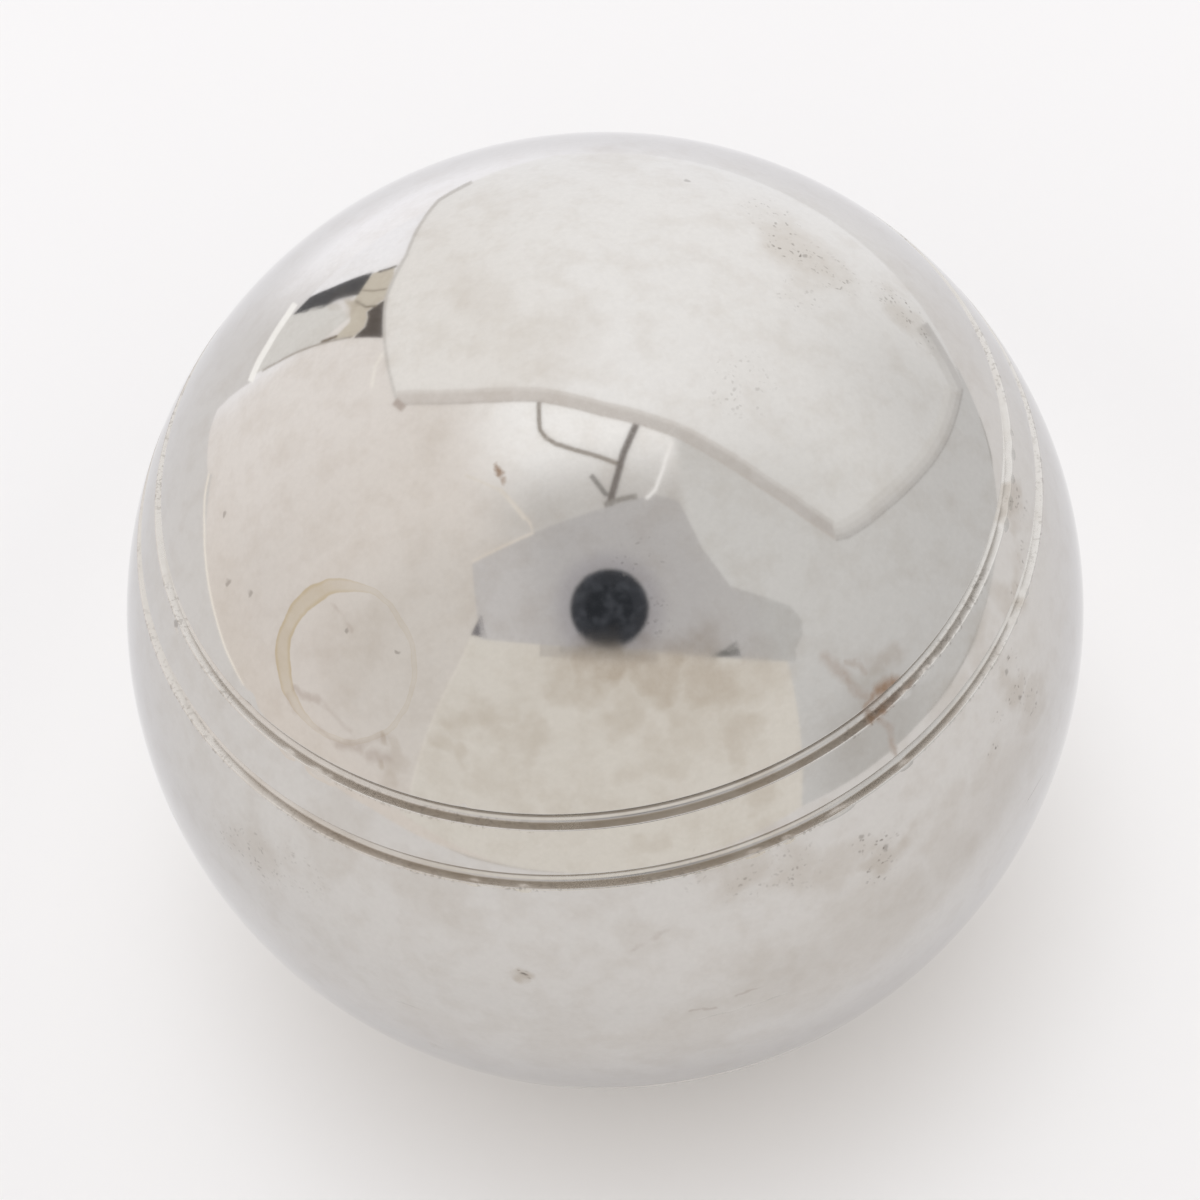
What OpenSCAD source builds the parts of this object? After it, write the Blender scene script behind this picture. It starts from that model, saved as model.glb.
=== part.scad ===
// A hollow steel throwing ball: two pressed half shells, seated on a centring spigot and
// joined by one weld round the equator. The weld is turned flush, so the outside is one
// true sphere. Two pairs of V grooves run round it, mirrored about the weld: a tool with a
// round nose turned them, and polishing rounded their lips.
// The origin is the centre of the ball and +Z runs along the axis that it was turned on.

/* [Ball] */
// Outer diameter of the finished ball
ball_d = 74; // [72:0.1:80]
// Thickness of the steel wall
wall_t = 6.2; // [5.6:0.1:7.4]

/* [Grooves] */
// Depth of a groove below the surface
groove_depth = 0.7; // [0.5:0.01:0.8]
// Angle between the two flanks of a groove
flank_angle = 57; // [50:1:66]
// Radius at the bottom of a groove, that of the tool's nose
nose_r = 0.42; // [0.25:0.01:0.45]
// Radius that polishing leaves on the lips of a groove
lip_r = 0.12; // [0.05:0.01:0.25]
// Height above the weld of the middle of the groove nearer to it
near_groove_h = 15.45; // [10:0.05:17]
// Height above the weld of the middle of the groove nearer the pole
far_groove_h = 19.65; // [19:0.05:26]

/* [Weld] */
// Angle of each bevelled face, from the plane of the joint
bevel_angle = 30; // [20:1:35]
// Height of the unbevelled land, from the cavity to the foot of the weld
root_face = 2.2; // [1.9:0.1:2.8]
// Width of the foot of the weld
root_w = 0.8; // [0.4:0.1:1.4]

/* [Spigot] */
// Thickness of the centring spigot
spigot_t = 1; // [0.7:0.1:1.3]
// Length of the spigot below the plane of the joint
spigot_len = 1.6; // [1:0.1:2.4]
// Chamfer that leads the spigot into its seat
spigot_chamfer = 0.3; // [0.1:0.05:0.5]
// Clearance round and under the spigot
spigot_gap = 0.05; // [0.02:0.01:0.15]

/* [Hidden] */
// Facets of a full turn and of a groove's section
turn_fn = 240;
groove_fn = 48;
lip_fn = 32;
// How far a cut runs past the surface that it opens
overrun = 1;
// How far the rounds of a groove are let into the faces beside them, so that edges cross
blend = 0.00003;

ball_r = ball_d / 2;
cavity_r = ball_r - wall_t;

// The joint, in the plane z = 0
spigot_r = cavity_r + spigot_t;
weld_foot_r = cavity_r + root_face;
weld_reach = ball_r + overrun;
weld_reach_w = root_w + 2 * (weld_reach - weld_foot_r) * tan(bevel_angle);

// Distance from the ball's centre to the middle of a groove's nose and to that of a lip
nose_axis_r = ball_r - groove_depth + nose_r;
lip_axis_r = ball_r - lip_r + blend;
half_angle = flank_angle / 2;
// Distance from a flank to the middle of the nose, and from there to that of the lip
nose_off = nose_r - blend;
lip_off = nose_off + lip_r - blend;
// Along a flank from the end of the nose to the start of the lip, by Pythagoras: the middle
// of the lip lies on a line beside the flank, which passes the ball's centre at miss_r
miss_r = nose_axis_r * sin(half_angle) - lip_off;
flank_l = sqrt(pow(lip_axis_r, 2) - pow(miss_r, 2)) - nose_axis_r * cos(half_angle);

// A point beside a groove's flank: its distance along the flank from the end of the nose, and
// square to the flank from the middle of the nose. The origin is on the ball's surface at the
// middle of the groove, and X runs outwards there
function by_flank(along, off) = [
    nose_r - groove_depth + along * cos(half_angle) - off * sin(half_angle),
    along * sin(half_angle) + off * cos(half_angle)
];

// What the tool takes away for one groove, with its lips left round
module groove_section(height) {
    lip = by_flank(flank_l, lip_off);
    mouth = lip + (lip + [ball_r, 0]) * (lip_r + overrun) / lip_axis_r;
    flank = [by_flank(0, nose_off), by_flank(flank_l, nose_off), lip, mouth];
    rotate(asin(height / ball_r)) translate([ball_r, 0]) {
        translate([nose_r - groove_depth, 0]) circle(r = nose_r, $fn = groove_fn);
        difference() {
            polygon([
                for (point = flank) point,
                for (i = [len(flank) - 1 : -1 : 0]) [flank[i][0], -flank[i][1]]
            ]);
            for (side = [-1, 1]) translate([lip[0], side * lip[1]])
                circle(r = lip_r, $fn = lip_fn);
        }
    }
}

// The weld preparation: a flat foot between two bevelled faces
module weld_section() {
    polygon([
        [weld_foot_r, -root_w / 2],
        [weld_reach, -weld_reach_w / 2],
        [weld_reach, weld_reach_w / 2],
        [weld_foot_r, root_w / 2]
    ]);
}

// The wall of the whole ball, on the right of its axis
module wall_section() {
    difference() {
        circle(r = ball_r, $fn = turn_fn);
        circle(r = cavity_r, $fn = turn_fn);
        translate([-ball_r - overrun, -ball_r - overrun])
            square([ball_r + overrun, 2 * (ball_r + overrun)]);
    }
}

// The half of the wall above the joint, with its grooves and its bevel
module half_section() {
    difference() {
        wall_section();
        translate([-overrun, -ball_r - overrun])
            square([ball_r + 2 * overrun, ball_r + overrun]);
        weld_section();
        for (height = [near_groove_h, far_groove_h]) groove_section(height);
    }
}

// The spigot: the inner edge of the wall, carried on below the joint
module spigot_section() {
    difference() {
        intersection() {
            wall_section();
            translate([0, -spigot_len]) square([spigot_r, spigot_len]);
        }
        translate([spigot_r, -spigot_len]) rotate(45)
            square(spigot_chamfer * sqrt(2), center = true);
    }
}

// The seat that the spigot drops into
module seat_section() {
    translate([0, -spigot_len - spigot_gap])
        square([spigot_r + spigot_gap, spigot_len + spigot_gap + overrun]);
}

module upper_half_shell() {
    color([0.80, 0.80, 0.79]) rotate_extrude($fn = turn_fn) {
        half_section();
        spigot_section();
    }
}

module lower_half_shell() {
    color([0.78, 0.78, 0.77]) rotate_extrude($fn = turn_fn) difference() {
        mirror([0, 1]) half_section();
        seat_section();
    }
}

module weld_bead() {
    color([0.72, 0.71, 0.69]) rotate_extrude($fn = turn_fn) intersection() {
        circle(r = ball_r, $fn = turn_fn);
        weld_section();
    }
}

upper_half_shell();
lower_half_shell();
weld_bead();
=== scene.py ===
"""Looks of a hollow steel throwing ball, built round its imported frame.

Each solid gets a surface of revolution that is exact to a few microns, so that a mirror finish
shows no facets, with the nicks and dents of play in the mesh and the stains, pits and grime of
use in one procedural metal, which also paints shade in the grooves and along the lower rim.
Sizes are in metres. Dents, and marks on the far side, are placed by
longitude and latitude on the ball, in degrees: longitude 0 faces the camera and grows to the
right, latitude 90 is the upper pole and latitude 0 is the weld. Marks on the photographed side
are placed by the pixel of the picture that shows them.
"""
import functools
import math

import bpy
import numpy as np
from mathutils import Matrix, Vector


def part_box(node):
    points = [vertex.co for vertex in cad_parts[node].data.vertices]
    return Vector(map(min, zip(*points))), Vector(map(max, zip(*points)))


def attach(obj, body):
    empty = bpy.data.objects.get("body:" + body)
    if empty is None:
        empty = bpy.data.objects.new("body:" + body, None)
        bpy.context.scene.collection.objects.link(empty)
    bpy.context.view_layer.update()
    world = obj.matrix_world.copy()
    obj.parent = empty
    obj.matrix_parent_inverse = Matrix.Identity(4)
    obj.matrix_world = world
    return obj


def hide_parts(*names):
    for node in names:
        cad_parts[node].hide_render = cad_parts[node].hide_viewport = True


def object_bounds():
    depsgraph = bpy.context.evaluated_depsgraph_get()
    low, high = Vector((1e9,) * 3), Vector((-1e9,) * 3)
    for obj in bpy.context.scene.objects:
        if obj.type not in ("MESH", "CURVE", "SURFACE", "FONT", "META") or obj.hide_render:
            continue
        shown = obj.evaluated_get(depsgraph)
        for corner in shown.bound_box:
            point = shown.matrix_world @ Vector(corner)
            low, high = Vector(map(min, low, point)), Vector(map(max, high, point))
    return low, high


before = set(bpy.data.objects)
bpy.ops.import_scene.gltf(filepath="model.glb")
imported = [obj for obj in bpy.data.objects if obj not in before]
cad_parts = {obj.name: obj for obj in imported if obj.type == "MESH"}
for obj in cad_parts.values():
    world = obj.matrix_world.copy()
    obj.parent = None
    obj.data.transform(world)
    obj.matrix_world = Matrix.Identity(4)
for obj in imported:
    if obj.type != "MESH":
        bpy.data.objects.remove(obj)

bl_info = {
    "name": "Turned Steel Ball",
    "version": (1, 0, 0),
    "blender": (4, 5, 0),
    "location": "View3D > Sidebar > Steel Ball",
    "description": "Builds the worn mirror finish of a welded steel ball and a small studio round it",
    "category": "Object",
}

CAD_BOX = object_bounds()
ROOT_BODY = "root"
MM = 0.001

X_AXIS, Y_AXIS, Z_AXIS = (1, 0, 0), (0, 1, 0), (0, 0, 1)

BALL_R = (CAD_BOX[1].z - CAD_BOX[0].z) / 2
WELD_HALF_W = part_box("weld_bead")[1].z

# The square picture: its side and the middle of the ball, in pixels
IMAGE_SIDE = 1200
BALL_CENTRE_PX = (605.1, 610.05)
# The camera: its height over the horizon in degrees, its sensor in millimetres, and the distances
# between which it sees
CAMERA_ELEVATION = 54.7
SENSOR_W = 36.0
CLIP = (0.01, 50.0)

# Dents and nicks in the metal: longitude, latitude, half length along the groove, half width
# across it and depth, the last three in millimetres
UPPER_DENTS = [
    (-68.0, 24.0, 0.41, 0.18, 0.07),
    (-62.5, 23.9, 0.36, 0.16, 0.06),
    (-21.2, 23.8, 0.45, 0.14, 0.05),
    (-15.2, 23.7, 0.41, 0.16, 0.06),
    (12.5, 23.7, 0.54, 0.17, 0.06),
    (16.8, 23.7, 0.36, 0.19, 0.07),
    (23.8, 23.8, 0.99, 0.16, 0.07),
    (34.0, 23.8, 0.50, 0.20, 0.07),
    (58.5, 23.8, 0.32, 0.17, 0.06),
    (62.9, 23.7, 0.36, 0.17, 0.07),
    (104.0, 25.6, 0.54, 0.17, 0.06),
    (151.0, 23.8, 0.45, 0.16, 0.06),
    (-128.0, 23.7, 0.63, 0.17, 0.07),
    (-74.6, 30.6, 0.50, 0.36, 0.08),
    (-56.7, 32.9, 0.36, 0.43, 0.09),
    (-48.3, 31.1, 0.45, 0.16, 0.06),
    (-43.5, 31.0, 0.54, 0.17, 0.07),
    (-41.6, 31.1, 0.32, 0.16, 0.05),
    (-22.6, 33.1, 0.32, 0.22, 0.06),
    (38.4, 31.0, 0.45, 0.17, 0.06),
    (42.4, 31.0, 0.59, 0.19, 0.07),
    (44.7, 31.0, 0.32, 0.16, 0.05),
    (67.6, 31.0, 0.41, 0.17, 0.07),
    (71.2, 31.0, 0.50, 0.20, 0.08),
    (75.0, 31.0, 0.36, 0.17, 0.07),
    (79.1, 31.0, 0.54, 0.20, 0.08),
    (82.6, 31.0, 0.36, 0.17, 0.07),
    (88.0, 33.0, 0.41, 0.17, 0.06),
    (133.0, 31.0, 0.50, 0.19, 0.07),
    (-150.0, 33.1, 0.54, 0.17, 0.06),
    (-16.0, 10.0, 0.45, 0.22, 0.03),
    (29.5, 15.7, 0.35, 0.35, 0.02),
]
LOWER_DENTS = [
    (-29.7, -10.7, 0.50, 0.30, 0.05),
    (20.0, -23.7, 0.45, 0.16, 0.06),
    (75.0, -31.0, 0.54, 0.17, 0.07),
    (122.0, -25.5, 0.45, 0.17, 0.06),
    (-60.0, -33.0, 0.41, 0.16, 0.06),
    (-104.0, -23.8, 0.63, 0.17, 0.07),
    (-165.0, -31.1, 0.45, 0.16, 0.06),
]
# The weld shows only as hairlines where its middle was never quite closed
WELD_HAIRLINES = [
    (4.6, 0.0, 1.00, 0.06, 0.030),
    (8.2, 0.1, 0.50, 0.05, 0.024),
    (11.3, 0.0, 0.80, 0.06, 0.030),
    (-31.0, 0.0, 0.90, 0.05, 0.024),
    (52.0, 0.1, 1.20, 0.05, 0.026),
    (97.0, 0.0, 1.40, 0.06, 0.028),
    (170.0, 0.0, 1.10, 0.06, 0.028),
    (-71.0, 0.1, 1.30, 0.05, 0.026),
    (-118.0, 0.0, 0.80, 0.05, 0.024),
]

# Marks on the photographed side are placed by the pixel of the picture that they show at, and
# those on the far side by longitude and latitude. Radii and half widths are in millimetres.
# Patches of fine dark pits: place, radius and strength
SEEN_PITS = [
    ((797, 249), 2.6, 1.0), ((772, 216), 2.8, 0.6), ((834, 274), 2.4, 0.6), ((800, 296), 2.2, 0.3),
    ((905, 310), 2.2, 0.8), ((924, 338), 1.6, 0.6), ((885, 296), 1.6, 0.5), ((742, 384), 3.0, 0.3),
    ((1008, 668), 1.4, 0.9), ((1018, 690), 1.6, 1.0), ((1030, 704), 1.6, 0.9), ((995, 748), 1.0, 0.9),
    ((997, 716), 1.0, 0.7), ((884, 846), 1.6, 0.9), ((862, 842), 1.2, 0.8), ((878, 872), 1.6, 0.8),
    ((1018, 500), 1.6, 0.8), ((1026, 556), 1.6, 0.7), ((1016, 600), 1.4, 0.6), ((998, 652), 1.0, 0.6),
    ((796, 868), 2.4, 0.5), ((748, 884), 2.2, 0.5), ((700, 872), 2.2, 0.3), ((258, 856), 3.4, 0.5),
    ((230, 840), 2.4, 0.4), ((300, 872), 2.8, 0.3), ((520, 975), 0.9, 0.9), ((436, 1046), 0.8, 0.6),
    ((640, 560), 2.2, 0.3), ((655, 618), 1.6, 0.3),
]
FAR_PITS = [
    ((-128.0, 8.0), 4.0, 0.6), ((-168.0, 44.0), 3.4, 0.5), ((152.0, 10.0), 3.4, 0.6),
    ((140.0, -50.0), 4.4, 0.5), ((-100.0, -46.0), 3.8, 0.5), ((175.0, -12.0), 3.0, 0.5),
]
# Brownish blooms of tarnish, and broad faint ones round the ball's lower rim as the camera sees it, which
# are painted shade: place, radius and strength
SEEN_BLOOMS_AND_RIM_SHADE = [
    ((486, 712), 2.6, 0.40), ((520, 742), 2.4, 0.30), ((466, 752), 1.8, 0.35), ((560, 672), 3.0, 0.45),
    ((604, 670), 3.6, 0.80), ((650, 672), 3.6, 0.70), ((616, 706), 3.0, 0.35), ((704, 690), 4.2, 0.62),
    ((742, 680), 3.0, 0.30), ((704, 728), 3.0, 0.30), ((748, 740), 2.4, 0.35), ((660, 752), 2.6, 0.30),
    ((560, 790), 2.0, 0.25), ((496, 790), 3.0, 0.28), ((760, 790), 2.2, 0.35),
    ((900, 652), 2.2, 0.35), ((872, 664), 1.8, 0.35),
    ((884, 850), 2.4, 0.42), ((838, 872), 3.4, 0.34), ((790, 876), 3.4, 0.32), ((742, 882), 3.0, 0.35),
    ((760, 838), 2.6, 0.30), ((1012, 684), 2.6, 0.36), ((1030, 706), 2.2, 0.34), ((1018, 520), 2.2, 0.50),
    ((1022, 580), 2.4, 0.45), ((376, 756), 0.9, 0.55), ((398, 768), 1.6, 0.30), ((345, 640), 5.6, 0.16),
    ((560, 330), 5.0, 0.18), ((470, 300), 4.0, 0.16), ((800, 250), 4.4, 0.30), ((910, 315), 3.0, 0.30),
    ((255, 850), 4.6, 0.25), ((440, 900), 4.0, 0.22), ((330, 840), 4.0, 0.20), ((520, 974), 1.2, 0.60),
    ((640, 940), 3.4, 0.20), ((950, 800), 3.0, 0.25), ((760, 960), 3.6, 0.22), ((640, 800), 2.2, 0.25),
    # The broad faint blooms from (880, 925) to (320, 975) lie along the lower rim and paint its shade
    ((640, 850), 1.6, 0.25), ((345, 300), 1.6, 0.30), ((880, 925), 7.0, 0.26), ((960, 850), 6.0, 0.26),
    ((1005, 770), 5.0, 0.24), ((790, 985), 7.0, 0.24), ((690, 1035), 6.5, 0.20), ((560, 1050), 6.0, 0.18),
    ((430, 1030), 6.0, 0.16), ((320, 975), 6.0, 0.12), ((1002, 600), 3.0, 0.34), ((978, 660), 3.0, 0.30),
    ((938, 706), 2.6, 0.26),
]
FAR_BLOOMS = [
    ((118.0, 20.0), 4.4, 0.45), ((-140.0, 30.0), 5.0, 0.45), ((175.0, -20.0), 4.6, 0.45),
    ((160.0, 60.0), 4.0, 0.25), ((60.0, -55.0), 5.0, 0.40), ((-60.0, -60.0), 5.0, 0.40),
    ((130.0, -30.0), 5.0, 0.40), ((-120.0, -20.0), 4.6, 0.40),
]
# Small brown freckles: place and radius
SEEN_FRECKLES = [
    ((225, 515), 0.34), ((228, 580), 0.40), ((250, 592), 0.34), ((524, 976), 0.34),
    ((806, 256), 0.30), ((910, 322), 0.26), ((1019, 697), 0.34), ((1008, 672), 0.30),
    ((886, 846), 0.40), ((862, 836), 0.30), ((346, 630), 0.26), ((396, 652), 0.26),
    ((176, 624), 0.40),
]
FAR_FRECKLES = [
    ((140.0, 62.0), 0.45), ((-150.0, 12.0), 0.50), ((170.0, 30.0), 0.40), ((100.0, -15.0), 0.45),
    ((-85.0, -40.0), 0.45), ((15.0, -62.0), 0.50),
]
# The dried ring that a wet rim left: a pixel of its middle, its radius, its half width where it
# is thin and where it is heavy, and the middle and radius of its heavy stretch
RING_MARK = (345, 664)
RING_MARK_R = 5.44
RING_MARK_HALF_W = (0.22, 0.74)
RING_MARK_HEAVY = ((286, 618), 8.6)
# Strokes of dried dirt and of rust: two ends, half width and strength of each
DIRT_STROKES = [
    ((316, 728), (340, 742), 0.45, 0.30),
    ((336, 742), (360, 748), 0.62, 0.45),
    ((356, 748), (386, 736), 0.50, 0.30),
    ((296, 690), (320, 700), 0.50, 0.42),
    ((288, 695), (298, 716), 0.40, 0.25),
    ((322, 700), (350, 732), 0.40, 0.20),
    ((330, 604), (352, 630), 0.36, 0.28),
    ((690, 1012), (716, 1006), 0.26, 0.45),
    ((736, 996), (766, 986), 0.26, 0.45),
    ((632, 952), (668, 930), 0.36, 0.30),
    ((368, 756), (386, 756), 0.80, 0.42),
]
RUST_STROKES = [
    ((872, 715), (888, 700), 0.90, 1.70),
    ((880, 692), (893, 684), 1.00, 0.95),
    ((866, 706), (884, 686), 0.62, 0.70),
    ((892, 702), (912, 682), 0.50, 0.70),
    ((826, 658), (846, 676), 0.80, 0.34),
    ((846, 676), (858, 692), 0.62, 0.40),
    ((856, 690), (872, 704), 0.62, 0.42),
    ((846, 664), (858, 662), 0.42, 0.30),
    ((858, 662), (866, 672), 0.42, 0.30),
    ((868, 664), (900, 652), 1.30, 0.10),
    ((880, 717), (890, 730), 0.58, 0.42),
    ((890, 730), (897, 756), 0.56, 0.40),
    ((497, 464), (501, 473), 0.34, 0.75),
    ((501, 475), (506, 484), 0.26, 0.45),
    ((244, 708), (256, 722), 0.30, 0.50),
]


# What all angles and all colours of the properties share
ANGLE = {"unit": "ROTATION", "subtype": "ANGLE"}
COLOUR = {"subtype": "COLOR", "size": 3, "min": 0.0, "max": 1.0}


class BallSizes(bpy.types.PropertyGroup):
    """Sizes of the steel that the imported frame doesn't state by itself."""

    wall: bpy.props.FloatProperty(
        name="Wall", description="Thickness of the steel wall", default=6.2 * MM, unit="LENGTH")
    groove_depth: bpy.props.FloatProperty(
        name="Groove Depth", description="Depth of a groove below the surface",
        default=0.7 * MM, unit="LENGTH")
    flank_angle: bpy.props.FloatProperty(
        name="Flank Angle", description="Angle between the two flanks of a groove",
        default=math.radians(57), **ANGLE)
    nose_radius: bpy.props.FloatProperty(
        name="Nose Radius", description="Radius at the bottom of a groove",
        default=0.42 * MM, unit="LENGTH")
    lip_radius: bpy.props.FloatProperty(
        name="Lip Radius", description="Radius that polishing leaves on the lips of a groove",
        default=0.12 * MM, unit="LENGTH")
    near_groove_height: bpy.props.FloatProperty(
        name="Near Groove Height", description="Height of the groove nearer to the weld",
        default=15.45 * MM, unit="LENGTH")
    far_groove_height: bpy.props.FloatProperty(
        name="Far Groove Height", description="Height of the groove nearer to the pole",
        default=19.65 * MM, unit="LENGTH")
    root_face: bpy.props.FloatProperty(
        name="Root Face", description="Height of the unbevelled land inside the weld",
        default=2.2 * MM, unit="LENGTH")
    root_width: bpy.props.FloatProperty(
        name="Root Width", description="Width of the foot of the weld",
        default=0.8 * MM, unit="LENGTH")
    spigot_thickness: bpy.props.FloatProperty(
        name="Spigot Thickness", description="Thickness of the centring spigot",
        default=1.0 * MM, unit="LENGTH")
    spigot_length: bpy.props.FloatProperty(
        name="Spigot Length", description="Length of the spigot below the joint",
        default=1.6 * MM, unit="LENGTH")
    spigot_chamfer: bpy.props.FloatProperty(
        name="Spigot Chamfer", description="Chamfer that leads the spigot into its seat",
        default=0.3 * MM, unit="LENGTH")
    spigot_gap: bpy.props.FloatProperty(
        name="Spigot Gap", description="Clearance round and under the spigot",
        default=0.05 * MM, unit="LENGTH")
    columns: bpy.props.IntProperty(
        name="Columns", description="Faces in one turn round the ball", default=720, min=90)

    def lip_heights(self):
        """Heights over the weld of the lips on the weld's side of both grooves."""
        return [BALL_R * math.sin(groove(height, self)[2])
                for height in (self.near_groove_height, self.far_groove_height)]


class SteelFinish(bpy.types.PropertyGroup):
    """Colours and wear of the polished metal."""

    steel: bpy.props.FloatVectorProperty(
        name="Steel", description="Colour that the clean metal reflects straight on",
        default=(0.646, 0.624, 0.591), **COLOUR)
    edge: bpy.props.FloatVectorProperty(
        name="Edge", description="Tint of what the metal reflects near the ball's rim",
        default=(0.915, 0.923, 0.945), **COLOUR)
    tarnish: bpy.props.FloatVectorProperty(
        name="Tarnish", description="Colour of the brownish blooms",
        default=(0.42, 0.365, 0.300), **COLOUR)
    tea: bpy.props.FloatVectorProperty(
        name="Dried Ring", description="Colour of the dried ring",
        default=(0.47, 0.385, 0.230), **COLOUR)
    dirt: bpy.props.FloatVectorProperty(
        name="Dirt", description="Colour of the dried strokes of dirt",
        default=(0.38, 0.32, 0.28), **COLOUR)
    pit: bpy.props.FloatVectorProperty(
        name="Pit", description="Colour of the fine pits",
        default=(0.16, 0.14, 0.12), **COLOUR)
    rust: bpy.props.FloatVectorProperty(
        name="Rust", description="Colour of the rust at the groove",
        default=(0.23, 0.125, 0.055), **COLOUR)
    # Colour of the grime in the grooves, which also paints their shade
    grime_and_shade: bpy.props.FloatVectorProperty(
        name="Grime", description="Colour of the dirt that lies in the grooves",
        default=(0.30, 0.24, 0.18), **COLOUR)
    polish: bpy.props.FloatProperty(
        name="Polish", description="Roughness of the polished surface",
        default=0.055, min=0.0, max=1.0, subtype="FACTOR")


class StudioSettings(bpy.types.PropertyGroup):
    """The floor, the light and the camera."""

    floor: bpy.props.FloatVectorProperty(
        name="Floor", description="Colour of the seamless floor",
        default=(0.865, 0.865, 0.860), **COLOUR)
    floor_lit: bpy.props.FloatVectorProperty(
        name="Lit Floor", description="Colour of the floor where the ball throws light on it",
        default=(0.958, 0.958, 0.950), **COLOUR)
    # Painted shade near the ball, warm with the light that the ball throws
    floor_warm_shade: bpy.props.FloatVectorProperty(
        name="Warm Floor", description="Colour of the floor under the ball's warm side",
        default=(0.874, 0.857, 0.829), **COLOUR)
    # Painted contact shadow right under the ball
    floor_contact_shadow: bpy.props.FloatVectorProperty(
        name="Contact", description="Colour of the floor right under the ball",
        default=(0.72, 0.71, 0.70), **COLOUR)
    floor_side: bpy.props.FloatProperty(
        name="Floor Side", description="Length of one side of the floor", default=16.0,
        unit="LENGTH")
    sky: bpy.props.FloatVectorProperty(
        name="Sky", description="Even light from all round",
        subtype="COLOR", size=3, min=0.0, max=2.0, default=(1.047, 1.028, 1.040))
    key_power: bpy.props.FloatProperty(
        name="Key Power", description="Power of the soft key light", default=1.55, unit="POWER")
    key_side: bpy.props.FloatProperty(
        name="Key Side", description="Length of one side of the soft key light", default=1.0,
        unit="LENGTH")
    camera_distance: bpy.props.FloatProperty(
        name="Camera Distance", description="From the camera to the ball's centre",
        default=7.5 * BALL_R, unit="LENGTH")
    camera_elevation: bpy.props.FloatProperty(
        name="Camera Elevation", description="Height of the camera above the horizon",
        default=math.radians(CAMERA_ELEVATION), **ANGLE)
    camera_roll: bpy.props.FloatProperty(
        name="Camera Roll", description="Lean of the ball's axis to the left in the picture",
        default=math.radians(9.8), **ANGLE)
    focal_px: bpy.props.FloatProperty(
        name="Focal Length", description="Focal length in pixels of the square picture",
        default=3557.0)


def direction(longitude, latitude):
    """Unit vector from the ball's centre: longitude from -Y towards +X, latitude above the weld."""
    lon, lat = math.radians(longitude), math.radians(latitude)
    return Vector((math.sin(lon) * math.cos(lat), -math.cos(lon) * math.cos(lat), math.sin(lat)))


class Picture:
    """The camera's place and turn, and where each pixel of its picture touches the ball and
    what it shows there."""

    def __init__(self, studio):
        elevation, roll = studio.camera_elevation, studio.camera_roll
        back = Vector((0, -math.cos(elevation), math.sin(elevation)))
        level_up = Vector((0, math.sin(elevation), math.cos(elevation)))
        right = Vector((math.cos(roll), 0, 0)) - level_up * math.sin(roll)
        up = Vector((math.sin(roll), 0, 0)) + level_up * math.cos(roll)
        self.focal_px = studio.focal_px
        self.eye = back * studio.camera_distance
        # The camera turns a little, so that the ball's centre falls on its pixel
        turn = self.sight(BALL_CENTRE_PX).rotation_difference(Vector((0, 0, -1))).to_matrix()
        self.axes = Matrix((right, up, back)).transposed() @ turn

    def sight(self, pixel):
        """The way that a pixel looks, along the camera's own axes."""
        half = IMAGE_SIDE / 2
        return Vector((pixel[0] - half, half - pixel[1], -self.focal_px)).normalized()

    def touch(self, pixel):
        """The point of the ball that a pixel shows."""
        way = self.axes @ self.sight(pixel)
        along = -self.eye.dot(way)
        missed = self.eye.length_squared - BALL_R ** 2
        return self.eye + way * (along - math.sqrt(along ** 2 - missed))

    def mirrored(self, pixel, plane):
        """The point of a plane that the ball mirrors at a pixel: the sight line turns about the
        ball's normal where it touches the ball, and goes on to the plane."""
        touch = self.touch(pixel)
        way = (self.axes @ self.sight(pixel)).reflect(touch.normalized())
        facing = direction(*plane[:2])
        return touch + way * ((plane[2] - touch.dot(facing)) / way.dot(facing))

    def outline(self, corners, plane):
        """Corners in metres: those given as pixels are found on the plane."""
        return [corner if len(corner) == 3 else self.mirrored(corner, plane) for corner in corners]

    def strip(self, pixels, width, aside=0.0):
        """Outline of a strip of even width along a line of pixels, or aside to its right."""
        line_px = np.array(pixels, float)
        way = np.gradient(line_px, axis=0)
        way /= np.linalg.norm(way, axis=1)[:, None]
        across = np.stack([-way[:, 1], way[:, 0]], axis=1)
        near, far = line_px + across * (aside - width / 2), line_px + across * (aside + width / 2)
        return [*far, *near[::-1]]


def placed(name, data):
    """An object at the origin that shows a mesh, a lamp or a camera."""
    thing = bpy.data.objects.new(name, data)
    bpy.context.scene.collection.objects.link(thing)
    return thing


# Rows of faces across the stretches of a section, from the pole to the weld and in the cavity
POLE_ROWS, BETWEEN_ROWS, BELOW_ROWS, CAVITY_ROWS = 38, 12, 22, 9
LIP_ROWS, FLANK_ROWS, NOSE_ROWS = 5, 2, 8
WELD_SIDE_ROWS, WELD_MIDDLE_ROWS = 10, 12
# Half width of the fine rows over the middle of the weld, where its hairlines are
WELD_MIDDLE_HALF_W = 0.2 * MM
# How far below the ball's surface the metal counts as its outside
OUTSIDE_DEPTH = 0.9 * MM
# A dent is cut off at this many times its larger half size
DENT_REACH = 4
# A section that starts this near to the axis ends on it
AXIS_NEAR = 1e-9


# Sections in the plane (distance from the axis, height)

def on_radius(radius, angle):
    """The point at a radius and at an angle above the joint."""
    return np.array([radius * math.cos(angle), radius * math.sin(angle)])


def angle_of(vector):
    """Angle of a section vector above the joint."""
    return math.atan2(vector[1], vector[0])


def arc(middle, radius, start, end, steps, hollow=False, graded=False):
    """Points middle + radius * (cos a, sin a) as the angle a goes from start to end, and their
    unit normals, which point away from the middle, or to it on a hollow arc. A graded arc has
    short steps at both ends, after a half cosine."""
    share = np.linspace(0.0, 1.0, steps + 1)
    if graded:
        share = 0.5 - 0.5 * np.cos(math.pi * share)
    angle = start + (end - start) * share
    ray = np.stack([np.cos(angle), np.sin(angle)], axis=1)
    return middle + radius * ray, -ray if hollow else ray


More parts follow.
